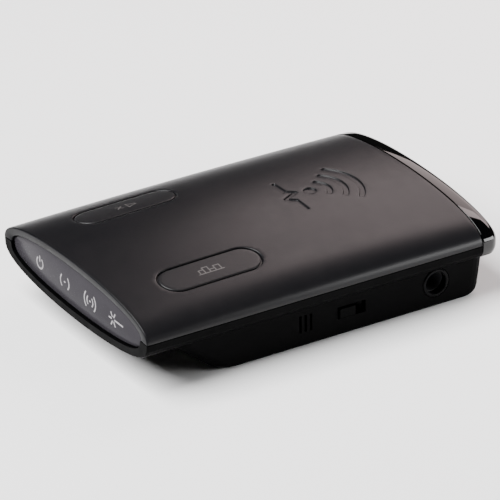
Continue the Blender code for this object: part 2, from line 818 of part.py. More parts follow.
def add_display(root):
    put("smoke_lens", display_lens(), root)
    put("housing_black", display_mask(), root)
    put("board_green", display_board(), root)
    put("chip_resin", display_header(), root)
    for i, x in enumerate(LEGENDS, 1):
        put("clear_acrylic", light_guide(f"light_guide_{i}", x), root)
        put("white_resin", indicator_led(f"indicator_led_{i}", x), root)


def add_buttons(root):
    for name, side in (("city", 1), ("mute", -1)):
        axis = empty(f"{name}_press_axis", (side * BUTTON_X, BUTTON_Y, STEM_Z), root)
        put("satin_charcoal", button(f"{name}_button", side), axis)
        put("white_resin", plunger(f"{name}_plunger", side), axis)
        put("chip_resin", tact_switch(f"{name}_switch", side), root)


def add_boards(root):
    put("board_green", main_board(), root)
    put("chip_resin", processor(), root)
    put("chip_resin", memory(), root)
    put("chip_resin", regulator(), root)
    put("ferrite", inductor(), root)
    put("tin_plate", crystal(), root)
    put("capacitor_sleeve", capacitor("capacitor_1", 8), root)
    put("capacitor_sleeve", capacitor("capacitor_2", 16), root)
    put("chip_resin", laser_sensor(), root)
    put("clear_acrylic", laser_lens(), root)
    for i, place in enumerate(BOARD_SCREW_PLACES, 1):
        put("screw_steel", board_screw(f"board_screw_{i}", place), root)


def add_antenna_and_speaker(root):
    put("die_cast", horn_antenna(), root)
    put("board_green", rf_board(), root)
    put("tin_plate", rf_shield(), root)
    put("tin_plate", speaker_frame(), root)
    put("speaker_paper", speaker_cone(), root)
    put("ferrite", speaker_magnet(), root)


def add_side_fittings(root):
    axis = empty("switch_slide_axis", (HOUSING_HALF_WIDTH, SWITCH_Y, SWITCH_Z), root)
    put("housing_black", switch_knob(), axis)
    put("chip_resin", switch_body(), root)
    put("chip_resin", socket_body(), root)
    put("tin_plate", socket_pin(), root)
    put("socket_ring", socket_ring(), root)


def build():
    for obj in list(bpy.data.objects):
        bpy.data.objects.remove(obj)
    root = empty("radar_detector")
    add_case(root)
    add_display(root)
    add_buttons(root)
    add_boards(root)
    add_antenna_and_speaker(root)
    add_side_fittings(root)


build()
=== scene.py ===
"""Looks of the windscreen radar detector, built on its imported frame.

Metres, +Z up, +Y to the nose, -Y to the display. The case is an almond section with two level tips,
so most visible pieces are drawn on that section: angle 0 is the tip on the +X side, pi the other tip.
"""

import json
import math

import bmesh
import bpy
from mathutils import Matrix, Vector
from mathutils.geometry import delaunay_2d_cdt


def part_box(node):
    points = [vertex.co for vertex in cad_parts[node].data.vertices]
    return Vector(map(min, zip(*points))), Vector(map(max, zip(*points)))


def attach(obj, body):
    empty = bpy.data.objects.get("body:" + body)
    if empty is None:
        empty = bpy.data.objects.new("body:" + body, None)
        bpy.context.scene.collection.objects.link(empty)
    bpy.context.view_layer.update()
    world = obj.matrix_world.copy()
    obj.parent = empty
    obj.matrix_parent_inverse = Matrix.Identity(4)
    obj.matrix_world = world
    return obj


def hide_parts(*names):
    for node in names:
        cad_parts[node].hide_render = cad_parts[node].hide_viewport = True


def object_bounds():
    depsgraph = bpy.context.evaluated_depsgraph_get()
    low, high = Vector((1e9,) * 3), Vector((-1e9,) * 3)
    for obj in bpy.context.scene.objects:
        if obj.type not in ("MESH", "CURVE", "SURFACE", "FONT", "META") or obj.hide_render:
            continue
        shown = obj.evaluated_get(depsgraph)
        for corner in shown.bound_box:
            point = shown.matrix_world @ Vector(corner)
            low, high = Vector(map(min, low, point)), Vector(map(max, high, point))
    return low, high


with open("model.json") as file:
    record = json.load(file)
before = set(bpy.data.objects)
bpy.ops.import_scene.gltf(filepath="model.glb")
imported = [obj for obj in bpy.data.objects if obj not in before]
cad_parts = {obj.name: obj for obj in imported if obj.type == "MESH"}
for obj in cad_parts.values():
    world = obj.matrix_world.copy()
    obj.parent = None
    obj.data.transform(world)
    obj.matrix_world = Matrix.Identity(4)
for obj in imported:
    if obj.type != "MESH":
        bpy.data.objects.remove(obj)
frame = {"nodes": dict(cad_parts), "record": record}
cad_low, cad_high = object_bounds()

MM = 0.001

# Driving sizes, read from the frame
HALF_WIDTH = cad_high.x
DISPLAY_END = cad_low.y
NOSE_END = cad_high.y
LENGTH = NOSE_END - DISPLAY_END
PARTING_GAP = 0.2 * MM
TIP_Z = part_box("bottom_case")[1].z + PARTING_GAP / 2
COVER_LOW = TIP_Z + PARTING_GAP / 2
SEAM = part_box("top_cover")[1].y
TAB_REACH = 3.5 * MM
NOSE_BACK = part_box("nose_cap")[0].y + TAB_REACH
NOSE_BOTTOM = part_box("nose_cap")[0].z
LENS_LOW, LENS_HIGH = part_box("display_lens")

# The almond: heights above and below the tips, and the powers of its two superellipses
GAP = 0.3 * MM
SIDE_WALL = HALF_WIDTH - LENS_HIGH.x - GAP
TOP_WALL = 2.3 * MM
CROWN = 7.9 * MM
CROWN_RISE = 0.3 * MM
CROWN_SWELL = 1.1 * MM
CROWN_POWER = 2.4
BELLY = 8.6 * MM
BELLY_POWER = 2.9


# Meshes

MERGE_DISTANCE = 0.002 * MM
CREASE = math.radians(35)


def piece(name, bm, finishes, body, replaces=()):
    """Turns a bmesh into a finished piece that rides on a body. Its faces pick their finish by index."""
    bmesh.ops.remove_doubles(bm, verts=bm.verts, dist=MERGE_DISTANCE)
    bmesh.ops.recalc_face_normals(bm, faces=bm.faces)
    mesh = bpy.data.meshes.new(name)
    bm.to_mesh(mesh)
    bm.free()
    mesh.shade_smooth()
    mesh.set_sharp_from_angle(angle=CREASE)
    for finish in finishes:
        mesh.materials.append(MATERIALS[finish])
    obj = bpy.data.objects.new(name, mesh)
    bpy.context.collection.objects.link(obj)
    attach(obj, body)
    if replaces:
        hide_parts(*replaces)


def skin(bm, rows, closed_rows=False, finish=0):
    """Quads between rows of as many points each. Finish is the index of their material."""
    verts = [[bm.verts.new(point) for point in row] for row in rows]
    start = 0 if closed_rows else 1
    for row, after in zip(verts, verts[1:]):
        for i in range(start, len(row)):
            face = bm.faces.new((row[i - 1], row[i], after[i], after[i - 1]))
            face.material_index = finish
    return verts


def quarter(radius, steps):
    """(how far out, how far down) down a quarter round edge, from its level side to its upright side."""
    angles = [math.pi / 2 * i / steps for i in range(steps + 1)]
    return [(radius * (1 - math.sin(angle)), radius * (1 - math.cos(angle))) for angle in angles]


def rounding(radius, distance):
    """How far a rounded edge has dropped at this distance in from it."""
    if distance >= radius:
        return 0.0
    return radius - math.sqrt(radius**2 - (radius - max(distance, 0.0)) ** 2)


# The almond section


def crown_height(y):
    """Height of the top surface's middle over the tips."""
    share = (y - DISPLAY_END) / LENGTH
    return CROWN + CROWN_RISE * share + CROWN_SWELL * 4 * share * (1 - share)


def crown_point(angle, y, side=0.0, top=0.0):
    """A point of the upper half of the section, drawn in by side and top."""
    height = crown_height(y) - top
    x = (HALF_WIDTH - side) * math.cos(angle)
    return Vector((x, y, TIP_Z + height * max(math.sin(angle), 0.0) ** (2 / CROWN_POWER)))


def crown_normal(angle, y, least_sine=1e-4):
    """The outward direction there, from the slope of the superellipse."""
    height = crown_height(y)
    x = HALF_WIDTH * math.cos(angle)
    z = height * max(math.sin(angle), least_sine) ** (2 / CROWN_POWER)
    across = 2 * x / HALF_WIDTH**2
    up = CROWN_POWER * z ** (CROWN_POWER - 1) / height**CROWN_POWER
    return Vector((across, 0, up)).normalized()


def sunk_point(angle, y, depth):
    """The point of the top surface at this angle, sunk by depth."""
    return crown_point(angle, y) - crown_normal(angle, y) * depth


def angle_at(x):
    return math.acos(max(-1.0, min(1.0, x / HALF_WIDTH)))


def on_crown(x, y, depth=0.0):
    """The point of the top surface over (x, y), sunk by depth."""
    return sunk_point(angle_at(x), y, depth)


def lower_edge_angle(y):
    """The angle at which the top cover's lower edge lies, just above the tip."""
    return math.asin((PARTING_GAP / 2 / crown_height(y)) ** (CROWN_POWER / 2))


class Girth:
    """Distance round the crown at mid-length against angle, so that a flat plan of it is nearly true."""

    def __init__(self, steps=2000):
        middle = (DISPLAY_END + NOSE_END) / 2
        start = lower_edge_angle(middle)
        self.angles = [start + (math.pi - 2 * start) * i / steps for i in range(steps + 1)]
        points = [crown_point(angle, middle) for angle in self.angles]
        self.run = [0.0]
        for before, after in zip(points, points[1:]):
            self.run.append(self.run[-1] + (after - before).length)
        self.total = self.run[-1]

    def distance(self, angle):
        return read_table(self.angles, self.run, angle)

    def angle(self, distance):
        return read_table(self.run, self.angles, distance)


def read_table(keys, values, key):
    """A value between the entries of a rising table."""
    low, high = 0, len(keys) - 1
    if key <= keys[0]:
        return values[0]
    if key >= keys[-1]:
        return values[-1]
    while high - low > 1:
        middle = (low + high) // 2
        if keys[middle] <= key:
            low = middle
        else:
            high = middle
    share = (key - keys[low]) / (keys[high] - keys[low])
    return values[low] + share * (values[high] - values[low])


GIRTH = Girth()


# Outlines in plan, and distances from them

FAR = 1.0


def stadium(centre, radius, straight, reach=0.0, round_steps=20, straight_steps=14):
    """Points round a slot with round ends, long side along Y, grown by reach."""
    points = []
    for end in (1, -1):
        for i in range(round_steps + 1):
            angle = math.pi * i / round_steps
            x = centre[0] + end * (radius + reach) * math.cos(angle)
            y = centre[1] + end * (straight / 2 + (radius + reach) * math.sin(angle))
            points.append((x, y))
        run = [i / straight_steps for i in range(1, straight_steps)]
        x = centre[0] - end * (radius + reach)
        points += [(x, centre[1] + end * straight * (0.5 - share)) for share in run]
    return points


def stadium_distance(centre, radius, straight, x, y):
    """Distance outside the slot's edge, negative inside."""
    along = max(abs(y - centre[1]) - straight / 2, 0.0)
    return math.hypot(x - centre[0], along) - radius


def stroke_distance(line, half_width, x, y):
    """Distance outside a round-ended stroke drawn along a polyline."""
    best = FAR
    for (ax, ay), (bx, by) in zip(line, line[1:]):
        length = math.hypot(bx - ax, by - ay)
        share = 0.0
        if length:
            share = ((x - ax) * (bx - ax) + (y - ay) * (by - ay)) / length**2
        share = max(0.0, min(1.0, share))
        best = min(best, math.hypot(x - ax - share * (bx - ax), y - ay - share * (by - ay)))
    return best - half_width


def circle(centre, radius, steps):
    """Points round a closed circle."""
    turns = [2 * math.pi * i / steps for i in range(steps)]
    return [(centre[0] + radius * math.cos(turn), centre[1] + radius * math.sin(turn)) for turn in turns]


def arc_line(centre, radius, middle, half_angle, steps):
    """Points along an arc about centre, either side of a middle direction."""
    angles = [middle + half_angle * (2 * i / steps - 1) for i in range(steps + 1)]
    return [(centre[0] + radius * math.cos(a), centre[1] + radius * math.sin(a)) for a in angles]


def stroke_outline(line, reach, cap_steps=8):
    """The outline of a stroke that never bends back on itself, with round ends."""
    left, right = [], []
    for i, (x, y) in enumerate(line):
        ax, ay = line[max(i - 1, 0)]
        bx, by = line[min(i + 1, len(line) - 1)]
        length = math.hypot(bx - ax, by - ay) or 1.0
        nx, ny = -(by - ay) / length, (bx - ax) / length
        left.append((x + nx * reach, y + ny * reach))
        right.append((x - nx * reach, y - ny * reach))
    outline = list(right)
    for (x, y), start in ((line[-1], right[-1]), (line[0], left[0])):
        first = math.atan2(start[1] - y, start[0] - x)
        turn = [first + math.pi * i / cap_steps for i in range(1, cap_steps)]
        cap = [(x + reach * math.cos(a), y + reach * math.sin(a)) for a in turn]
        outline += cap + (left[::-1] if start == right[-1] else [])
    return outline


# Buttons, placed from the frame. Depths are measured under the crown

BUTTON_SINK = 0.05 * MM
GROOVE = 0.5 * MM
HOLE_ROUND = 0.28 * MM
CAP_ROUND = 0.36 * MM
SKIRT_SINK = 0.55 * MM
SKIRT_EASE = 0.04 * MM
SKIRT_REACH = 0.36 * MM
FLANGE_REACH = 1.4 * MM
FLANGE_TOP = 2.7 * MM
FLANGE_BOTTOM = 3.6 * MM
STEM_TOP = 3 * MM
STEM_RADIUS = 1.6 * MM
STEM_CHAMFER = 0.2 * MM


class Key:
    """The slot-shaped cap of one button: its middle, end radius and straight length."""

    def __init__(self, node, body):
        low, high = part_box(node)
        self.node, self.body = node, body
        self.centre = ((low.x + high.x) / 2, (low.y + high.y) / 2)
        self.radius = (high.x - low.x) / 2 - FLANGE_REACH
        self.straight = (high.y - low.y) - (high.x - low.x)
        self.stem_z = low.z

    def distance(self, x, y):
        return stadium_distance(self.centre, self.radius, self.straight, x, y)

    def outline(self, reach=0.0):
        return stadium(self.centre, self.radius, self.straight, reach)


KEYS = [Key("city_button", "city_key"), Key("mute_button", "mute_key")]


def key_distance(x, y):
    """Distance outside the nearer button cap."""
    return min(key.distance(x, y) for key in KEYS)


# The emblem: three waves over a dot, and a pulse line

EMBLEM_SOURCE = (0.0, DISPLAY_END + 70.5 * MM)
EMBLEM_HALF_WIDTH = 12 * MM
EMBLEM_ENDS = (DISPLAY_END + 60 * MM, DISPLAY_END + 87 * MM)
WAVE_RADII = (5.2 * MM, 9.4 * MM, 13.6 * MM)
WAVE_HALF_ANGLE = math.radians(42)
WAVE_HALF_WIDTH = 0.75 * MM
DOT_RADIUS = 1.7 * MM
PULSE_Y = DISPLAY_END + 64.6 * MM
PULSE_HALF_LENGTH = 8.2 * MM
PULSE_HEIGHT = 2.2 * MM
PULSE_HALF_WIDTH = 0.55 * MM

# Its depth at each distance outside its edge, in mm: a rounded lip, a steep wall and a flat floor
EMBLEM_STEPS = [(0.12, 0.0), (0.05, 0.02), (0.0, 0.08), (-0.07, 0.34), (-0.14, 0.4)]


def pulse_line():
    """Level, one peak and one dip, level."""
    shape = [(-1, 0), (-0.34, 0), (-0.14, 1), (0.14, -1), (0.34, 0), (1, 0)]
    return [(x * PULSE_HALF_LENGTH, PULSE_Y + y * PULSE_HEIGHT) for x, y in shape]


WAVES = [arc_line(EMBLEM_SOURCE, radius, math.pi / 2, WAVE_HALF_ANGLE, 24) for radius in WAVE_RADII]
PULSE = pulse_line()


def emblem_distance(x, y):
    if abs(x) > EMBLEM_HALF_WIDTH or not EMBLEM_ENDS[0] < y < EMBLEM_ENDS[1]:
        return FAR
    found = [stroke_distance(line, WAVE_HALF_WIDTH, x, y) for line in WAVES]
    found.append(math.hypot(x - EMBLEM_SOURCE[0], y - EMBLEM_SOURCE[1]) - DOT_RADIUS)
    found.append(stroke_distance(PULSE, PULSE_HALF_WIDTH, x, y))
    return min(found)


def emblem_depth(distance):
    """How deep the emblem is at this distance outside its edge."""
    steps = [(d * MM, depth * MM) for d, depth in EMBLEM_STEPS]
    if distance >= steps[0][0]:
        return 0.0
    for (d, depth), (inner_d, inner_depth) in zip(steps, steps[1:]):
        if distance >= inner_d:
            share = (distance - d) / (inner_d - d)
            return depth + share * (inner_depth - depth)
    return steps[-1][1]


def emblem_loops():
    """Closed outlines at each of the emblem's steps, which the mesh of the cover follows."""
    loops = []
    for step, _ in EMBLEM_STEPS:
        reach = step * MM
        loops += [stroke_outline(line, WAVE_HALF_WIDTH + reach) for line in WAVES]
        loops.append(circle(EMBLEM_SOURCE, DOT_RADIUS + reach, 32))
        for a, b in zip(PULSE, PULSE[1:]):
            middle = ((a[0] + b[0]) / 2, (a[1] + b[1]) / 2)
            loops.append(stroke_outline([a, middle, b], PULSE_HALF_WIDTH + reach))
    return loops


# Sheets: a triangulated plan that is then laid on the crown. Plans are in millimetres


def triangulate(loops, points, wanted, tolerance=1e-5):
    """(vertices, triangles) of a plan that follows the closed loops and takes in the extra points."""
    vertices, edges = [], []
    for loop in loops:
        first = len(vertices)
        vertices += [Vector(point) for point in loop]
        count = len(loop)
        edges += [(first + i, first + (i + 1) % count) for i in range(count)]
    vertices += [Vector(point) for point in points]
    found, _, faces, _, _, _ = delaunay_2d_cdt(vertices, edges, [], 0, tolerance)
    kept = []
    for face in faces:
        middle = sum((found[i] for i in face), Vector((0, 0))) / len(face)
        if wanted(middle.x, middle.y):
            kept.append(face)
    return found, kept


def add_sheet(bm, found, faces, place):
    """Adds a triangulated plan to the mesh, with each of its points where place puts it."""
    verts = [bm.verts.new(place(u, v)) for u, v in found]
    for face in faces:
        bm.faces.new([verts[i] for i in face])


def flat(x, y):
    """The place in plan of (x, y): distance round the girth, and y."""
    return GIRTH.distance(angle_at(x)) / MM, y / MM


def unflat(u, v):
    """(angle, y) of a place in plan, in metres."""
    return GIRTH.angle(u * MM), v * MM


def under(u, v):
    """(x, y) of a place in plan, in metres."""
    angle, y = unflat(u, v)
    return HALF_WIDTH * math.cos(angle), y


def lattice(u_range, v_range, pitch, clear):
    """Staggered points that fill a rectangle wherever clear says so."""
    points = []
    rows = int((v_range[1] - v_range[0]) / pitch)
    columns = int((u_range[1] - u_range[0]) / pitch)
    for j in range(1, rows):
        v = v_range[0] + (v_range[1] - v_range[0]) * j / rows
        for i in range(1, columns):
            u = u_range[0] + (u_range[1] - u_range[0]) * (i + 0.5 * (j % 2) - 0.25) / columns
            if clear(u, v):
                points.append((u, v))
    return points


# Materials. Scales are in features per metre, and grain depths in millimetres

MATERIALS = {}


def material(name):
    """Makes a material and lists it by name. The frame may hold one of the same name already."""
    made = bpy.data.materials.new(name)
    made.use_nodes = True
    MATERIALS[name] = made
    return made.node_tree.nodes, made.node_tree.links


def noise(nodes, links, scale, detail=4.0, roughness=0.5, stretch=(1, 1, 1)):
    """Noise in the object's own coordinates."""
    place = nodes.new("ShaderNodeTexCoord")
    mapping = nodes.new("ShaderNodeMapping")
    mapping.inputs["Scale"].default_value = stretch
    texture = nodes.new("ShaderNodeTexNoise")
    texture.inputs["Scale"].default_value = scale
    texture.inputs["Detail"].default_value = detail
    texture.inputs["Roughness"].default_value = roughness
    links.new(place.outputs["Object"], mapping.inputs["Vector"])
    links.new(mapping.outputs["Vector"], texture.inputs["Vector"])
    return texture


def drive(nodes, links, texture, values, socket, spread=(0.3, 0.7)):
    """Lets a noise move a socket between two values, colours or greys, over a spread of its strength."""
    ramp = nodes.new("ShaderNodeValToRGB")
    for element, position, value in zip(ramp.color_ramp.elements, spread, values):
        element.position = position
        element.color = (*value, 1) if isinstance(value, tuple) else (value, value, value, 1)
    links.new(texture.outputs["Fac"], ramp.inputs["Fac"])
    links.new(ramp.outputs["Color"], socket)


def bump(nodes, links, texture, shader, strength, depth):
    """Raises the surface with a texture."""
    made = nodes.new("ShaderNodeBump")
    made.inputs["Strength"].default_value = strength
    made.inputs["Distance"].default_value = depth * MM
    links.new(texture.outputs["Fac"], made.inputs["Height"])
    links.new(made.outputs["Normal"], shader.inputs["Normal"])


def moulded(name, colours, roughness, grain, depth, specular=0.5, metallic=0.0):
    """Moulded plastic or plain metal: a slow drift of colour, uneven gloss, and a fine grain."""
    nodes, links = material(name)
    shader = nodes["Principled BSDF"]
    drift = noise(nodes, links, 45, detail=3)
    drive(nodes, links, drift, colours, shader.inputs["Base Color"], spread=(0.35, 0.65))
    wear = noise(nodes, links, 260, detail=5, roughness=0.6)
    drive(nodes, links, wear, roughness, shader.inputs["Roughness"])
    fine = noise(nodes, links, grain, detail=2)
    bump(nodes, links, fine, shader, 1.0, depth)
    shader.inputs["Specular IOR Level"].default_value = specular
    shader.inputs["Metallic"].default_value = metallic


def brushed(name, colours, roughness, stretch, depth):
    """Metal with fine scratches along one direction."""
    nodes, links = material(name)
    shader = nodes["Principled BSDF"]
    lines = noise(nodes, links, 900, detail=4, roughness=0.6, stretch=stretch)
    drive(nodes, links, lines, colours, shader.inputs["Base Color"])
    drive(nodes, links, lines, roughness, shader.inputs["Roughness"])
    bump(nodes, links, lines, shader, 0.6, depth)
    shader.inputs["Metallic"].default_value = 1.0


def clear_plastic():
    """Clear acrylic with a faint haze."""
    nodes, links = material("clear_acrylic")
    shader = nodes["Principled BSDF"]
    haze = noise(nodes, links, 500)
    drive(nodes, links, haze, (0.03, 0.12), shader.inputs["Roughness"])
    drive(nodes, links, haze, ((0.86, 0.9, 0.93), (0.93, 0.95, 0.96)), shader.inputs["Base Color"])
    shader.inputs["Transmission Weight"].default_value = 0.9
    shader.inputs["IOR"].default_value = 1.49


def circuit_board():
    """Solder mask over tracks, which show as a paler, slightly raised pattern."""
    nodes, links = material("board_green")
    shader = nodes["Principled BSDF"]
    place = nodes.new("ShaderNodeTexCoord")
    tracks = nodes.new("ShaderNodeTexBrick")
    tracks.inputs["Scale"].default_value = 160
    tracks.inputs["Mortar Size"].default_value = 0.035
    tracks.inputs["Color1"].default_value = (0.016, 0.105, 0.045, 1)
    tracks.inputs["Color2"].default_value = (0.02, 0.13, 0.055, 1)
    tracks.inputs["Mortar"].default_value = (0.035, 0.22, 0.09, 1)
    links.new(place.outputs["Object"], tracks.inputs["Vector"])
    links.new(tracks.outputs["Color"], shader.inputs["Base Color"])
    gloss = noise(nodes, links, 700, detail=3)
    drive(nodes, links, gloss, (0.3, 0.45), shader.inputs["Roughness"])
    bump(nodes, links, tracks, shader, 0.5, 0.03)


def window_plastic():
    """The smoke-grey window: polished, with a fine haze."""
    nodes, links = material("smoke_lens")
    shader = nodes["Principled BSDF"]
    haze = noise(nodes, links, 90)
    drive(nodes, links, haze, ((0.025, 0.023, 0.027), (0.029, 0.027, 0.031)), shader.inputs["Base Color"])
    fine = noise(nodes, links, 3000, detail=2)
    drive(nodes, links, fine, (0.2, 0.28), shader.inputs["Roughness"])
    bump(nodes, links, fine, shader, 0.2, 0.002)
    shader.inputs["Specular IOR Level"].default_value = 0.03


def make_finishes():
    """Every finish that the pieces use."""
    moulded(
        "satin_charcoal", ((0.0042, 0.0042, 0.005), (0.0056, 0.0054, 0.0062)),
        roughness=(0.3, 0.35), grain=2600, depth=0.012, specular=0.18,
    )
    moulded(
        "button_charcoal", ((0.0062, 0.0061, 0.0068), (0.008, 0.0077, 0.0085)),
        roughness=(0.33, 0.38), grain=2600, depth=0.012, specular=0.18,
    )
    # Painted shade for the display rim's lip: the cover's own charcoal plastic, made darker and less glossy
    # to stand in for the shade of the window's recess
    moulded(
        "rim_painted_shade", ((0.0035, 0.0035, 0.0042), (0.005, 0.005, 0.0058)),
        roughness=(0.3, 0.4), grain=3000, depth=0.003, specular=0.06,
    )
    moulded(
        "housing_black", ((0.0003, 0.0003, 0.0004), (0.0006, 0.0006, 0.0007)),
        roughness=(0.45, 0.6), grain=3000, depth=0.02, specular=0.025,
    )
    moulded(
        "gloss_black", ((0.0006, 0.0006, 0.0006), (0.001, 0.001, 0.001)),
        roughness=(0.03, 0.055), grain=900, depth=0.0004, specular=0.4,
    )
    window_plastic()
    clear_plastic()
    moulded(
        "white_resin", ((0.74, 0.73, 0.68), (0.8, 0.79, 0.75)),
        roughness=(0.35, 0.5), grain=1500, depth=0.01,
    )
    circuit_board()
    moulded(
        "die_cast", ((0.5, 0.5, 0.51), (0.62, 0.62, 0.62)),
        roughness=(0.35, 0.6), grain=1800, depth=0.04, metallic=1.0,
    )
    brushed(
        "tin_plate", ((0.6, 0.6, 0.58), (0.74, 0.74, 0.72)),
        roughness=(0.22, 0.38), stretch=(1, 8, 1), depth=0.006,
    )
    brushed(
        "screw_steel", ((0.3, 0.3, 0.31), (0.46, 0.46, 0.46)),
        roughness=(0.25, 0.42), stretch=(1, 1, 6), depth=0.006,
    )
    moulded(
        "chip_resin", ((0.015, 0.015, 0.016), (0.024, 0.024, 0.026)),
        roughness=(0.5, 0.65), grain=2600, depth=0.015,
    )
    moulded(
        "capacitor_sleeve", ((0.022, 0.026, 0.05), (0.03, 0.034, 0.06)),
        roughness=(0.25, 0.35), grain=1200, depth=0.01,
    )
    moulded(
        "ferrite", ((0.04, 0.037, 0.036), (0.065, 0.06, 0.058)),
        roughness=(0.6, 0.8), grain=2200, depth=0.04,
    )
    moulded(
        "speaker_paper", ((0.035, 0.033, 0.03), (0.06, 0.057, 0.052)),
        roughness=(0.8, 0.95), grain=1600, depth=0.05,
    )
    brushed(
        "plate_silver", ((0.26, 0.26, 0.265), (0.4, 0.4, 0.405)),
        roughness=(0.3, 0.45), stretch=(1, 14, 1), depth=0.004,
    )
    brushed(
        "socket_ring", ((0.003, 0.003, 0.0032), (0.006, 0.006, 0.0062)),
        roughness=(0.25, 0.38), stretch=(6, 1, 1), depth=0.004,
    )
    moulded(
        "print_pale", ((0.2, 0.19, 0.2), (0.24, 0.23, 0.24)),
        roughness=(0.45, 0.6), grain=2500, depth=0.003,
    )
    moulded(
        "print_dark", ((0.02, 0.02, 0.022), (0.03, 0.03, 0.032)),
        roughness=(0.4, 0.55), grain=2500, depth=0.003,
    )
    moulded(
        "print_grey", ((0.04, 0.037, 0.036), (0.052, 0.048, 0.047)),
        roughness=(0.45, 0.6), grain=2500, depth=0.003,
    )


def dress_frame():
    """Gives each CAD node the finish of its record slot."""
    for entry in frame["record"]["subparts"]:
        finish = MATERIALS[entry["material_slot"]]
        node = frame["nodes"][entry["node"]]
        for slot in node.material_slots:
            slot.material = finish
        if not node.material_slots:
            node.data.materials.append(finish)


def even_out(node):
    """Makes a CAD node's normals follow its larger faces."""
    normals = frame["nodes"][node].modifiers.new("normals", "WEIGHTED_NORMAL")
    normals.keep_sharp = True


# Top cover

LOWER_ROUND = 0.16 * MM
DISPLAY_ROUND = 0.45 * MM
SEAM_ROUND = 0.22 * MM
INNER_BACK = 0.75 * MM

# Its mesh: pitches and edge steps in the plan's millimetres, and how far the lattice keeps off the loops
OUTER_PITCH = 1.1
INNER_PITCH = 2.2
EDGE_STEPS = (0.05, 0.12, 0.25)
EDGE_MARGIN = 0.6
HOLE_MARGIN = 0.3 * MM
HOLE_SLACK = 0.02 * MM
EMBLEM_BAND_MIDDLE = 0.03 * MM
EMBLEM_BAND_REACH = 0.35 * MM

# The rim at the display end: its first bands keep the cover's finish, and past its rounding it leans
# in to the window's recess, where a darker, less glossy copy of that finish paints shade on it.
# Each step is (share of the wall's thickness, mm back from the end)
SATIN_BANDS = 3
RIM_STEPS = [(0.5, 0.08), (0.9, 0.18), (0.97, 0.3), (1.0, 0.5), (1.0, 6.0)]


def cover_depth(x, y):
    """How far the cover's face is sunk here, by the edges of the button holes and by the emblem."""
    for key in KEYS:
        distance = key.distance(x, y) - GROOVE
        if distance < HOLE_ROUND:
            return rounding(HOLE_ROUND, distance)
    return emblem_depth(emblem_distance(x, y))


def outer_drop(angle, y, from_edge):
    """The cover's outer face, with its lower edges and its holes rounded."""
    depth = cover_depth(HALF_WIDTH * math.cos(angle), y) + rounding(LOWER_ROUND, from_edge)
    return sunk_point(angle, y, depth)


def rim_point(angle, y, side, top):
    """A point of the cover, drawn in by side and top, and no lower than its lower edge."""
    point = crown_point(angle, y, side, top)
    return Vector((point.x, point.y, max(point.z, COVER_LOW)))


def inner_drop(angle, y, _):
    """The cover's inner face."""
    return rim_point(angle, y, SIDE_WALL, TOP_WALL)


def cover_face(bm, ends, lips, drop, loops, pitch):
    """One face of the cover, with its two holes. Returns the steps of its border in plan.

    Ends are its y limits. Lips are the reaches of the loops round each hole, the widest first.
    """
    width = GIRTH.total / MM
    columns = int(width / pitch)
    across = [width * i / columns for i in range(columns + 1)]
    rows = int((ends[1] - ends[0]) / MM / pitch)
    along = [(ends[0] + (ends[1] - ends[0]) * i / rows) / MM for i in range(rows + 1)]
    border = [(u, along[0]) for u in across[:-1]] + [(across[-1], v) for v in along[:-1]]
    border += [(u, along[-1]) for u in across[:0:-1]] + [(0.0, v) for v in along[:0:-1]]
    holes = [[flat(*point) for point in key.outline(GROOVE + lip)] for key in KEYS for lip in lips]
    marks = [[flat(*point) for point in loop] for loop in loops]
    points = [(u, v) for u in EDGE_STEPS for v in along[1:-1]]
    points += [(width - u, v) for u in EDGE_STEPS for v in along[1:-1]]

    def clear(u, v):
        """Keeps the lattice off the lower edges, the hole loops and the emblem's wall."""
        x, y = under(u, v)
        if not EDGE_MARGIN < u < width - EDGE_MARGIN:
            return False
        if key_distance(x, y) - GROOVE - lips[0] < HOLE_MARGIN:
            return False
        return not loops or abs(emblem_distance(x, y) - EMBLEM_BAND_MIDDLE) > EMBLEM_BAND_REACH

    def wanted(u, v):
        return key_distance(*under(u, v)) > GROOVE - HOLE_SLACK

    def place(u, v):
        return drop(*unflat(u, v), min(u, width - u) * MM)

    points += lattice((0, width), (along[0], along[-1]), pitch, clear)
    found, faces = triangulate([border, *holes, *marks], points, wanted)
    add_sheet(bm, found, faces, place)
    return across, along


def rounded_rim(angles, end, radius, steps, into):
    """Rows of points round the edge at one end, from the outer face to the end face.

    Into is the way into the cover along Y, 1 or -1.
    """
    rows = []
    for back, inset in quarter(radius, steps):
        rows.append([rim_point(angle, end + into * back, inset, inset) for angle in angles])
    return rows


def display_rim(bm, angles):
    """The rim at the display end: rounded outside, then a lip that leans in to the window's recess. The lip
    takes finish 1, a darker copy of the cover's charcoal that paints shade on it.
    """
    rows = rounded_rim(angles, DISPLAY_END, DISPLAY_ROUND, 8, 1)
    skin(bm, rows[: SATIN_BANDS + 1])
    rows = rows[SATIN_BANDS:]
    for share, back in RIM_STEPS:
        side, top = share * SIDE_WALL, share * TOP_WALL
        rows.append([rim_point(angle, DISPLAY_END + back * MM, side, top) for angle in angles])
    # Finish 1 is painted shade: the cover's plastic, darker and less glossy
    skin(bm, rows, finish=1)


def seam_rim(bm, angles):
    """The rim at the seam: a small round edge and a flat face."""
    rows = rounded_rim(angles, SEAM, SEAM_ROUND, 4, -1)
    rows.append([rim_point(angle, SEAM, SIDE_WALL, TOP_WALL) for angle in angles])
    skin(bm, rows)


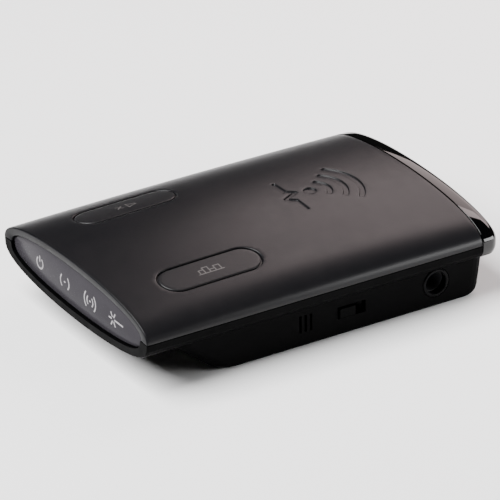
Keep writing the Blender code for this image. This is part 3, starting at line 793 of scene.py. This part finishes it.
def top_cover():
    """A thick shell: both faces, a rim at each end, the parting faces and the walls of the button holes."""
    bm = bmesh.new()
    lips = [out for out, _ in quarter(HOLE_ROUND, 4)]
    ends = (DISPLAY_END + DISPLAY_ROUND, SEAM - SEAM_ROUND)
    across, along = cover_face(bm, ends, lips, outer_drop, emblem_loops(), OUTER_PITCH)
    cover_face(bm, (DISPLAY_END + INNER_BACK, SEAM), [0.0], inner_drop, [], INNER_PITCH)
    angles = [GIRTH.angle(u * MM) for u in across]
    display_rim(bm, angles)
    seam_rim(bm, angles)
    for side in (1, -1):
        outer = [Vector((side * (HALF_WIDTH - LOWER_ROUND), v * MM, COVER_LOW)) for v in along]
        inner = [Vector((side * (HALF_WIDTH - SIDE_WALL), v * MM, COVER_LOW)) for v in along]
        skin(bm, [outer, inner])
    for key in KEYS:
        outline = key.outline(GROOVE)
        top = [on_crown(x, y, HOLE_ROUND) for x, y in outline]
        bottom = [crown_point(angle_at(x), y, 0, TOP_WALL) for x, y in outline]
        skin(bm, [top, bottom], closed_rows=True)
    # The second finish is the painted shade on the display rim's lip
    finishes = ["satin_charcoal", "rim_painted_shade"]
    piece("top_cover_shell", bm, finishes, "case", ["top_cover"])


# Buttons

CAP_PITCH = 0.9
CAP_MARGIN = 0.3 * MM
CAP_SLACK = 0.01 * MM


def button(key):
    """A cap that follows the crown with a rounded edge, its flange, and its stem."""
    bm = bmesh.new()
    add_cap_face(bm, key)
    outline = key.outline()
    skirt, flange = key.outline(SKIRT_REACH), key.outline(FLANGE_REACH)
    rows = [[on_crown(x, y, BUTTON_SINK + CAP_ROUND) for x, y in outline]]
    rows.append([on_crown(x, y, SKIRT_SINK) for x, y in outline])
    rows.append([on_crown(x, y, SKIRT_SINK + SKIRT_EASE) for x, y in skirt])
    below = [(skirt, FLANGE_TOP), (flange, FLANGE_TOP), (flange, FLANGE_BOTTOM), (outline, FLANGE_BOTTOM)]
    for ring, drop in below:
        rows.append([on_crown(x, y) - Vector((0, 0, drop)) for x, y in ring])
    skin(bm, rows, closed_rows=True)
    add_stem(bm, key)
    piece(f"{key.node}_cap", bm, ["button_charcoal"], key.body, [key.node])


def add_cap_face(bm, key):
    """The face that a finger meets, with its edge rounded."""
    lips = [-out for out, _ in quarter(CAP_ROUND, 4)]
    loops = [[flat(*point) for point in key.outline(lip)] for lip in lips]

    def inside(u, v):
        return key.distance(*under(u, v)) < CAP_SLACK

    def clear(u, v):
        return key.distance(*under(u, v)) < -CAP_ROUND - CAP_MARGIN

    def place(u, v):
        angle, y = unflat(u, v)
        return sunk_point(angle, y, BUTTON_SINK + rounding(CAP_ROUND, -key.distance(*under(u, v))))

    us = [u for u, _ in loops[-1]]
    vs = [v for _, v in loops[-1]]
    points = lattice((min(us), max(us)), (min(vs), max(vs)), CAP_PITCH, clear)
    found, faces = triangulate(loops, points, inside)
    add_sheet(bm, found, faces, place)


def add_stem(bm, key):
    """The post that reaches down to the tact switch."""
    top, bottom = on_crown(*key.centre).z - STEM_TOP, key.stem_z
    tip_radius = STEM_RADIUS - STEM_CHAMFER
    rings = [(STEM_RADIUS, top), (STEM_RADIUS, bottom + STEM_CHAMFER), (tip_radius, bottom)]
    rows = [[(x, y, z) for x, y in circle(key.centre, radius, 24)] for radius, z in rings]
    verts = skin(bm, rows, closed_rows=True)
    bm.faces.new(verts[-1])


# Nose cap

NOSE_ROUND = 2.8 * MM
NOSE_SEAM_ROUND = 0.15 * MM
NOSE_WALL = 1.8 * MM
NOSE_CORNER = 0.7 * MM


def nose_half(inset, flat_steps=8, corner_steps=8, side_steps=12):
    """(x, z) points of half the nose's section, from the middle of its flat underside to the tip."""
    width = HALF_WIDTH - inset
    belly = BELLY - inset
    low = NOSE_BOTTOM + inset - TIP_Z

    def belly_x(z):
        return width * (1 - (abs(z) / belly) ** BELLY_POWER) ** 0.5

    flat_end = belly_x(low) - NOSE_CORNER
    points = [(flat_end * i / flat_steps, low) for i in range(flat_steps + 1)]
    upper = low + NOSE_CORNER
    for i in range(1, corner_steps):
        turn = math.pi / 2 * i / corner_steps
        x = flat_end + (belly_x(upper) - flat_end) * math.sin(turn)
        points.append((x, low + NOSE_CORNER * (1 - math.cos(turn))))
    for i in range(side_steps + 1):
        z = upper * (1 - i / side_steps) ** 1.3
        points.append((belly_x(z), z))
    return points


def nose_ring(y, inset, steps=96):
    """The closed section of the nose at y, drawn in by inset."""
    lower = nose_half(inset)
    height = crown_height(y) - inset
    upper = []
    for i in range(1, steps):
        angle = math.pi * i / steps
        x = (HALF_WIDTH - inset) * math.cos(angle)
        upper.append((x, height * math.sin(angle) ** (2 / CROWN_POWER)))
    ring = lower + upper + [(-x, z) for x, z in lower[:0:-1]]
    return [Vector((x, y, TIP_Z + z)) for x, z in ring]


def nose_cap():
    """The rounded cap: seam face, outside, flat front, and the hollow behind it."""
    bm = bmesh.new()
    outside = [nose_ring(NOSE_BACK, NOSE_WALL)]
    outside += [nose_ring(NOSE_BACK + ahead, inset) for inset, ahead in quarter(NOSE_SEAM_ROUND, 3)]
    outside += [nose_ring(NOSE_END - back, inset) for back, inset in quarter(NOSE_ROUND, 12)]
    hollow = [nose_ring(NOSE_BACK, NOSE_WALL), nose_ring(NOSE_END - NOSE_WALL, NOSE_WALL)]
    for rows in (outside, hollow):
        verts = skin(bm, rows, closed_rows=True)
        bm.faces.new(verts[-1])
    piece("nose_cap_gloss", bm, ["gloss_black"], "case", ["nose_cap"])


# Display window

WINDOW_EDGE = 0.15 * MM


def window_ring(y, inset, steps=96):
    """The closed section of the window at y, drawn in by inset."""
    half = HALF_WIDTH - (SIDE_WALL + GAP + inset)
    drawn_in = TOP_WALL + GAP + inset
    points = []
    halves = [(1, crown_height(y) - drawn_in, CROWN_POWER), (-1, BELLY - drawn_in, BELLY_POWER)]
    for side, height, power in halves:
        for i in range(steps):
            angle = math.pi * i / steps
            z = side * height * math.sin(angle) ** (2 / power)
            points.append(Vector((side * half * math.cos(angle), y, TIP_Z + z)))
    return points


def display_window():
    """The window plate with an eased front edge."""
    bm = bmesh.new()
    front, back = LENS_LOW.y, LENS_HIGH.y
    eased = WINDOW_EDGE * 0.3
    rows = [window_ring(front, WINDOW_EDGE), window_ring(front + eased, eased)]
    rows += [window_ring(front + WINDOW_EDGE, 0), window_ring(back, 0)]
    verts = skin(bm, rows, closed_rows=True)
    bm.faces.new(verts[0])
    bm.faces.new(verts[-1])
    piece("display_window", bm, ["smoke_lens"], "case", ["display_lens"])


# Printing: legends on the window, signs on the buttons and marks on the rating plate

LEGEND_PITCH = 12.65 * MM
LEGEND_SIZE = 3.7 * MM
LEGEND_HALF_WIDTH = 0.235 * MM
LEGEND_DROP = 0.7 * MM
BUTTON_SIGN_SIZE = 2.3 * MM
BUTTON_SIGN_HALF_WIDTH = 0.17 * MM
BUTTON_SIGN_LIFT = 0.015 * MM
PRINT_LIFT = 0.012 * MM
PLATE_MARGIN = 1.2 * MM
FINE_HALF_WIDTH = 0.12 * MM
WIDE_HALF_WIDTH = 0.24 * MM


def print_strokes(name, strokes, half_width, place, body, finish):
    """Flat printing in one sheet: round-ended strokes, merged where they cross, laid on a surface."""
    pairs = [pair for line in strokes for pair in zip(line, line[1:])]
    loops = [[(u / MM, v / MM) for u, v in stroke_outline(pair, half_width)] for pair in pairs]

    def inside(u, v):
        return min(stroke_distance(line, half_width, u * MM, v * MM) for line in strokes) < 0.0

    def lay(u, v):
        return place(u * MM, v * MM)

    found, faces = triangulate(loops, [], inside)
    bm = bmesh.new()
    add_sheet(bm, found, faces, lay)
    piece(name, bm, [finish], body)


def power_sign(size):
    """An open circle with an upright stem in its gap."""
    stem = [(0.0, size * 0.12), (0.0, size * 0.5)]
    return [arc_line((0.0, 0.0), size * 0.42, -math.pi / 2, math.radians(138), 18), stem]


def wave_sign(size, radii):
    """A dot with waves to both sides, at these shares of the size."""
    dot = size * 0.05
    strokes = [[(-dot, 0.0), (dot, 0.0)]]
    for radius in radii:
        for middle in (0.0, math.pi):
            strokes.append(arc_line((0.0, 0.0), size * radius, middle, math.radians(44), 8))
    return strokes


def beam_sign(size):
    """A spark that throws out rays, one of them long."""
    start, rays = (-size * 0.32, 0.0), 6
    strokes = [[(start[0] + size * 0.2, 0.0), (size * 0.95, 0.0)]]
    for i in range(1, rays):
        angle = 2 * math.pi * i / rays
        ends = [size * reach for reach in (0.22, 0.52)]
        strokes.append([(start[0] + end * math.cos(angle), end * math.sin(angle)) for end in ends])
    return strokes


def skyline_sign(size):
    """Four buildings of different heights, each an open box on one ground line."""
    strokes = [[(-1.55 * size, -0.5 * size), (1.55 * size, -0.5 * size)]]
    for left, right, top in ((-1.35, -0.75, 0.2), (-0.75, -0.1, 0.55), (-0.1, 0.6, -0.05), (0.6, 1.3, 0.38)):
        box = [(left, -0.5), (left, top), (right, top), (right, -0.5)]
        strokes.append([(x * size, y * size) for x, y in box])
    return strokes


def muted_sign(size):
    """A loudspeaker with a cross beside it."""
    horn = [(-1.3, -0.2), (-1.3, 0.2), (-0.85, 0.2), (-0.3, 0.55), (-0.3, -0.55), (-0.85, -0.2)]
    cross = [[(0.35, -0.35), (1.05, 0.35)], [(0.35, 0.35), (1.05, -0.35)]]
    return [[(x * size, y * size) for x, y in line] for line in ([*horn, horn[0]], *cross)]


def legends():
    """Four printed signs on the window: power, near band, far band and laser."""
    size = LEGEND_SIZE
    z = TIP_Z - LEGEND_DROP
    y = LENS_LOW.y - PRINT_LIFT
    signs = [power_sign(size), wave_sign(size, [0.58]), wave_sign(size, [0.4, 0.76]), beam_sign(size)]
    for i, sign in enumerate(signs):
        x = (i - 1.5) * LEGEND_PITCH

        def place(u, v, x=x):
            return Vector((x + u, y, z + v))

        print_strokes(f"legend_{i + 1}", sign, LEGEND_HALF_WIDTH, place, "case", "print_pale")


def button_signs():
    """Faint signs on the two buttons. Each one's top is towards the middle of the case."""
    for key, draw, side in ((KEYS[0], skyline_sign, 1), (KEYS[1], muted_sign, -1)):
        cx, cy = key.centre

        def place(u, v, side=side, cx=cx, cy=cy):
            return on_crown(cx - side * v, cy + side * u, BUTTON_SINK - BUTTON_SIGN_LIFT)

        sign = draw(BUTTON_SIGN_SIZE)
        print_strokes(f"{key.node}_sign", sign, BUTTON_SIGN_HALF_WIDTH, place, key.body, "print_grey")


def rating_marks(rule_count=4, bar_count=12):
    """Plain marks on the rating plate: a border, level rules and a block of upright bars."""
    low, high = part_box("rating_plate")
    z = low.z - PRINT_LIFT
    centre = (low + high) / 2
    reach_x, reach_y = (high.x - low.x) / 2 - PLATE_MARGIN, (high.y - low.y) / 2 - PLATE_MARGIN
    border = [(-reach_x, -reach_y), (reach_x, -reach_y), (reach_x, reach_y), (-reach_x, reach_y)]
    rules = [[*border, border[0]]]
    for i in range(rule_count):
        v = reach_y * (0.6 - 0.4 * i)
        rules.append([(-reach_x * 0.85, v), (reach_x * (0.1 - 0.12 * (i % 2)), v)])
    bars = []
    for i in range(bar_count):
        u = reach_x * (0.35 + 0.045 * i)
        bars.append([(u, -reach_y * 0.4), (u, reach_y * 0.5)])

    def place(u, v):
        return Vector((centre.x + u, centre.y - v, z))

    print_strokes("rating_rules", rules, FINE_HALF_WIDTH, place, "case", "print_dark")
    print_strokes("rating_bars_narrow", bars[::2], FINE_HALF_WIDTH, place, "case", "print_dark")
    print_strokes("rating_bars_wide", bars[1::2], WIDE_HALF_WIDTH, place, "case", "print_dark")


# Studio

FLOOR_RADIUS = 0.9
FLOOR_DROP = 0.02 * MM
WORLD_STRENGTH = 0.02


def direction(azimuth, elevation):
    """A unit vector. Azimuth 0 is -Y, where a camera that looks along +Y stands, and 90 is +X."""
    a, e = math.radians(azimuth), math.radians(elevation)
    return Vector((math.sin(a) * math.cos(e), -math.cos(a) * math.cos(e), math.sin(e)))


def area_light(name, aim, towards, distance, shift, size, radiance, colour=(1, 1, 1)):
    """A soft box that faces aim from a direction. Its first side lies along Y as nearly as it can."""
    back = towards.normalized()
    first = (Vector((0, 1, 0)) - back.y * back).normalized()
    second = back.cross(first)
    data = bpy.data.lights.new(name, "AREA")
    data.shape = "RECTANGLE"
    data.size, data.size_y = size
    data.energy = radiance * math.pi * size[0] * size[1]
    data.color = colour
    obj = bpy.data.objects.new(name, data)
    bpy.context.collection.objects.link(obj)
    place = aim + back * distance + first * shift[0] + second * shift[1]
    basis = Matrix((first, second, back)).transposed()
    obj.matrix_world = Matrix.Translation(place) @ basis.to_4x4()
    obj.visible_camera = False


def lights():
    """Two soft boxes that the crown mirrors, one beside the nose, and a wide fill over the display end."""
    nose_top = Vector((0, SEAM, TIP_Z + crown_height(SEAM)))
    middle = Vector((0, 0, TIP_Z))
    behind = Vector((-0.62, 0.48, 0.62))
    beside = Vector((0.86, 0.47, 0.18))
    warm = (1.0, 0.84, 0.83)
    area_light("soft_box", nose_top, behind, 0.30, (0.078, -0.02), (0.29, 0.22), 3.5, warm)
    area_light("soft_box_edge", nose_top, behind, 0.295, (0.078, -0.1), (0.29, 0.06), 4.5, warm)
    area_light("side_box", nose_top, beside, 0.22, (0.05, 0), (0.2, 0.08), 13)
    area_light("fill", middle, direction(-14, 54), 1.1, (0, 0), (0.9, 0.9), 20)


def floor_material():
    """Matt and nearly even."""
    nodes, links = material("floor_pale")
    shader = nodes["Principled BSDF"]
    tone = noise(nodes, links, 6, detail=3)
    drive(nodes, links, tone, (0.86, 0.88), shader.inputs["Base Color"])
    shader.inputs["Roughness"].default_value = 0.9
    shader.inputs["Specular IOR Level"].default_value = 0.0


def studio():
    """A round pale floor just under the case, and a faint even sky."""
    bm = bmesh.new()
    bmesh.ops.create_circle(bm, cap_ends=True, radius=FLOOR_RADIUS, segments=96)
    mesh = bpy.data.meshes.new("floor")
    bm.to_mesh(mesh)
    bm.free()
    floor_material()
    mesh.materials.append(MATERIALS["floor_pale"])
    floor = bpy.data.objects.new("floor", mesh)
    floor.location.z = cad_low.z - FLOOR_DROP
    bpy.context.collection.objects.link(floor)

    world = bpy.data.worlds.new("studio")
    bpy.context.scene.world = world
    world.use_nodes = True
    sky = world.node_tree.nodes["Background"]
    sky.inputs["Color"].default_value = (1, 1, 1, 1)
    sky.inputs["Strength"].default_value = WORLD_STRENGTH


def camera():
    """The viewpoint: where it stands, and the point of the case that it faces, a little off centre."""
    azimuth, elevation, roll, distance = 58.34, 27.07, -0.57, 1.268
    faced = Vector((0, DISPLAY_END + 54 * MM, TIP_Z + 0.7 * MM))
    offset_right, offset_up = 1.484 * MM, 3.873 * MM
    data = bpy.data.cameras.new("camera")
    data.sensor_width = 36
    data.lens = 355
    data.clip_start, data.clip_end = 0.01, 20
    obj = bpy.data.objects.new("camera", data)
    bpy.context.collection.objects.link(obj)
    back = direction(azimuth, elevation)
    right = Vector((math.cos(math.radians(azimuth)), math.sin(math.radians(azimuth)), 0))
    up = back.cross(right)
    turn = math.radians(roll)
    turned_right = right * math.cos(turn) + up * math.sin(turn)
    turned_up = up * math.cos(turn) - right * math.sin(turn)
    place = faced - offset_right * turned_right - offset_up * turned_up + back * distance
    basis = Matrix((turned_right, turned_up, back)).transposed()
    obj.matrix_world = Matrix.Translation(place) @ basis.to_4x4()
    bpy.context.scene.camera = obj


camera()
studio()
lights()
make_finishes()
dress_frame()
top_cover()
for pushed in KEYS:
    button(pushed)
nose_cap()
display_window()
legends()
button_signs()
rating_marks()
even_out("bottom_case")
